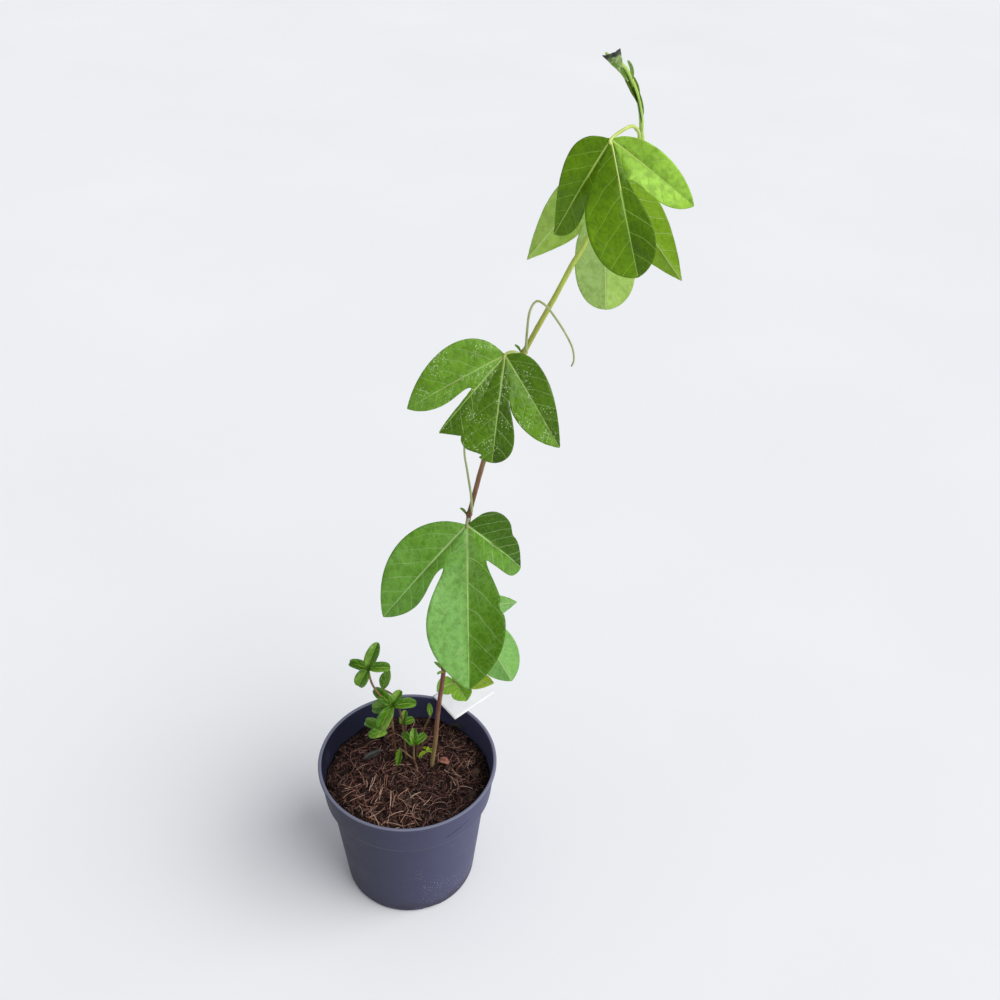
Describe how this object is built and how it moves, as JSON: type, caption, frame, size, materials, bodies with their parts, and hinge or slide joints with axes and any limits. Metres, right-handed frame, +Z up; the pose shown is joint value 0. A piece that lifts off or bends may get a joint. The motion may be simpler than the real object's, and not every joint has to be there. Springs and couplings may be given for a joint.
{
  "type": "potted passion flower vine",
  "caption": "Young climbing vine with lobed leaves and tendrils, rooted in potting mix in a round tapered nursery pot with a wide collar and drain holes.",
  "frame": {"origin": "middle of the pot's foot, on the face it stands on", "axes": "+Z up along the pot's axis, -Y towards the side the vine's leaves face, +X to the side the vine leans"},
  "size_m": [0.2078, 0.1656, 0.5789],
  "materials": {
    "pot": "matte",
    "potting_mix": "rough fibrous coir and bark",
    "tag": "matte",
    "stem": "satin",
    "leaf": "satin",
    "pale_leaf": "satin",
    "young_leaf": "satin"
  },
  "bodies": {
    "root": {"pot": "pot", "potting_mix": "potting_mix", "plant_tag": "tag", "vine_stem": "stem", "tendril_low": "pale_leaf", "tendril_high": "pale_leaf", "leaf_1": "leaf", "leaf_2": "pale_leaf", "leaf_3": "leaf", "leaf_4": "leaf", "leaf_5": "pale_leaf", "leaf_6": "leaf", "young_leaf_upper": "young_leaf", "young_leaf_lower": "young_leaf", "shoot_left": "young_leaf", "shoot_back": "young_leaf", "shoot_thin": "young_leaf", "shoot_front": "young_leaf"}
  },
  "joints": []
}
